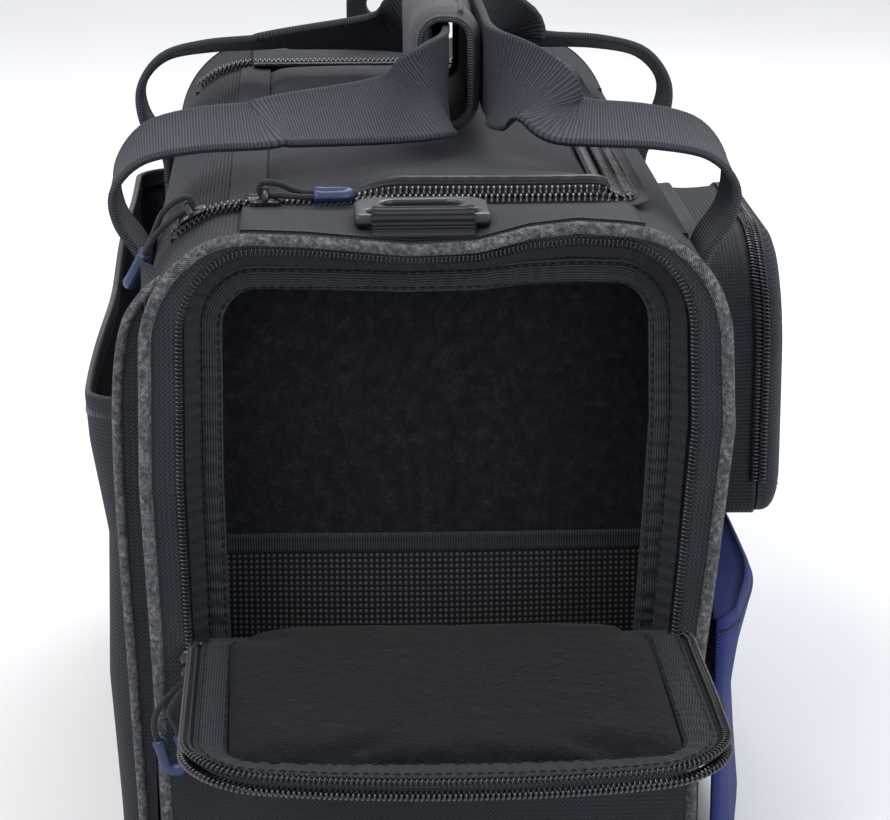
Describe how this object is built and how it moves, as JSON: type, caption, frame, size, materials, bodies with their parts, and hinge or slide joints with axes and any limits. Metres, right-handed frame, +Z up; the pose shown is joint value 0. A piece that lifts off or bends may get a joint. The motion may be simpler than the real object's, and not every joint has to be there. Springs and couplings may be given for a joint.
{
  "type": "pilot flight bag",
  "caption": "Soft padded pilot duffel with a drop-down headset pocket at each end, zipped top lid, webbing handles with grip wrap, strap rings, a zipped side pocket and an open slip pocket.",
  "frame": {"origin": "centre of the bag body's bottom face, on the floor, not counting the open door", "axes": "+Z up; Y along the bag, with the open headset pocket facing -Y; +X towards the side with the zipped pocket"},
  "size_m": [0.2818, 0.5857, 0.336],
  "materials": {
    "ballistic_nylon": "matte woven, coated",
    "lid_nylon": "matte woven, padded",
    "fleece": "soft brushed pile",
    "lining_nylon": "thin woven lining",
    "foam": "closed-cell foam board",
    "board": "stiff base board",
    "webbing": "ribbed nylon webbing",
    "wrap_knit": "soft padded grip",
    "zip_coil": "black nylon coil on herringbone tape",
    "piping_grey": "grey heathered piping",
    "ring_plastic": "moulded black plastic",
    "slider_metal": "black coated die cast",
    "cord": "black braided cord",
    "tip_blue": "moulded blue grip",
    "navy_nylon": "matte woven navy panel",
    "edge_tape": "shiny bound edge"
  },
  "bodies": {
    "bag": {"bottom_panel": "ballistic_nylon", "base_board": "board", "side_skin_left": "ballistic_nylon", "side_skin_right": "ballistic_nylon", "side_foam_left": "foam", "side_foam_right": "foam", "deck_front": "lid_nylon", "deck_rear": "lid_nylon", "bulkhead_front": "fleece", "bulkhead_rear": "fleece", "main_lining": "lining_nylon", "main_zip_fixed": "zip_coil", "front_pocket_face": "ballistic_nylon", "front_pocket_lining": "fleece", "front_zip_fixed": "zip_coil", "front_piping": "piping_grey", "rear_pocket_face": "ballistic_nylon", "rear_pocket_lining": "fleece", "rear_zip_fixed": "zip_coil", "rear_piping": "piping_grey", "handle_legs": "webbing", "strap_tab_front": "webbing", "strap_tab_rear": "webbing", "left_slip_pocket": "ballistic_nylon", "left_slip_trim": "edge_tape", "right_pocket_gusset": "ballistic_nylon", "right_zip_fixed": "zip_coil", "right_lower_panel": "navy_nylon", "main_slider_corner": "slider_metal"},
    "front_door": {"front_door_skin": "ballistic_nylon", "front_door_lining": "fleece", "front_zip_door": "zip_coil"},
    "rear_door": {"rear_door_skin": "ballistic_nylon", "rear_door_lining": "fleece", "rear_zip_door": "zip_coil"},
    "main_lid": {"main_lid_skin": "lid_nylon", "main_lid_lining": "lining_nylon", "main_zip_lid": "zip_coil"},
    "left_handle": {"handle_left": "webbing", "handle_wrap": "wrap_knit"},
    "right_handle": {"handle_right": "webbing"},
    "front_ring": {"strap_ring_front": "ring_plastic"},
    "rear_ring": {"strap_ring_rear": "ring_plastic"},
    "front_slide_left": {"front_slider_left": "slider_metal"},
    "front_pull_left": {"front_cord_left": "cord", "front_tip_left": "tip_blue"},
    "front_slide_right": {"front_slider_right": "slider_metal"},
    "front_pull_right": {"front_cord_right": "cord", "front_tip_right": "tip_blue"},
    "corner_pull": {"main_cord_corner": "cord", "main_tip_corner": "tip_blue"},
    "run_slide": {"main_slider_run": "slider_metal"},
    "run_pull": {"main_cord_run": "cord", "main_tip_run": "tip_blue"},
    "rear_slide": {"rear_slider": "slider_metal"},
    "rear_pull": {"rear_puller": "tip_blue"},
    "right_pocket_flap": {"right_flap": "ballistic_nylon", "right_zip_flap": "zip_coil"},
    "right_slide": {"right_slider": "slider_metal"},
    "right_pull": {"right_puller": "tip_blue"}
  },
  "joints": [
    {"name": "front_door_hinge", "type": "hinge", "parent": "bag", "child": "front_door", "pos_m": [0, -0.215, 0.128], "axis": [1, 0, 0], "range_deg": [-89, 45]},
    {"name": "rear_door_hinge", "type": "hinge", "parent": "bag", "child": "rear_door", "pos_m": [0, 0.215, 0.128], "axis": [-1, 0, 0], "range_deg": [0, 135]},
    {"name": "main_lid_hinge", "type": "hinge", "parent": "bag", "child": "main_lid", "pos_m": [-0.07, 0, 0.28], "axis": [0, -1, 0], "range_deg": [0, 86]},
    {"name": "left_handle_swing", "type": "hinge", "parent": "bag", "child": "left_handle", "pos_m": [-0.1096, 0, 0.238], "axis": [0, -1, 0], "range_deg": [0, 103.2]},
    {"name": "right_handle_swing", "type": "hinge", "parent": "bag", "child": "right_handle", "pos_m": [0.1096, 0, 0.238], "axis": [0, 1, 0], "range_deg": [0, 137.6]},
    {"name": "front_ring_hinge", "type": "hinge", "parent": "bag", "child": "front_ring", "pos_m": [-0.005, -0.206, 0.2851], "axis": [1, 0, 0], "range_deg": [0, 160]},
    {"name": "rear_ring_hinge", "type": "hinge", "parent": "bag", "child": "rear_ring", "pos_m": [0, 0.206, 0.2851], "axis": [-1, 0, 0], "range_deg": [-90, 70]},
    {"name": "front_slider_left_travel", "type": "slide", "parent": "bag", "child": "front_slide_left", "axis": [0, 0, 1], "range_m": [0, 0.095]},
    {"name": "front_pull_left_swing", "type": "hinge", "parent": "front_slide_left", "child": "front_pull_left", "pos_m": [-0.092, -0.22315, 0.12], "axis": [-1, 0, 0], "range_deg": [0, 150]},
    {"name": "front_slider_right_travel", "type": "slide", "parent": "bag", "child": "front_slide_right", "axis": [0, 0, 1], "range_m": [0, 0.095]},
    {"name": "front_pull_right_swing", "type": "hinge", "parent": "front_slide_right", "child": "front_pull_right", "pos_m": [0.092, -0.22315, 0.12], "axis": [-1, 0, 0], "range_deg": [0, 150]},
    {"name": "corner_pull_swing", "type": "hinge", "parent": "bag", "child": "corner_pull", "pos_m": [-0.09167, -0.16355, 0.28275], "axis": [0, 1, 0], "range_deg": [0, 110]},
    {"name": "main_slider_travel", "type": "slide", "parent": "bag", "child": "run_slide", "axis": [1, 0, 0], "range_m": [0, 0.12]},
    {"name": "run_pull_swing", "type": "hinge", "parent": "run_slide", "child": "run_pull", "pos_m": [-0.062, -0.16355, 0.28815], "axis": [0, -1, 0], "range_deg": [0, 140]},
    {"name": "rear_slider_travel", "type": "slide", "parent": "bag", "child": "rear_slide", "axis": [1, 0, 0], "range_m": [-0.055, 0.055]},
    {"name": "rear_pull_swing", "type": "hinge", "parent": "rear_slide", "child": "rear_pull", "pos_m": [0, 0.2247, 0.27625], "axis": [0, 0, -1], "range_deg": [0, 170]},
    {"name": "right_flap_hinge", "type": "hinge", "parent": "bag", "child": "right_pocket_flap", "pos_m": [0.142, 0, 0.128], "axis": [0, 1, 0], "range_deg": [0, 100]},
    {"name": "right_slider_travel", "type": "slide", "parent": "bag", "child": "right_slide", "axis": [0, 1, 0], "range_m": [-0.026, 0.026]},
    {"name": "right_pull_swing", "type": "hinge", "parent": "right_slide", "child": "right_pull", "pos_m": [0.1359, 0, 0.25195], "axis": [-1, 0, 0], "range_deg": [0, 170]}
  ],
  "couplings": [
    {"joint": "left_handle_swing", "follows": "main_lid_hinge", "ratio": 1.2},
    {"joint": "right_handle_swing", "follows": "main_lid_hinge", "ratio": 1.6}
  ]
}
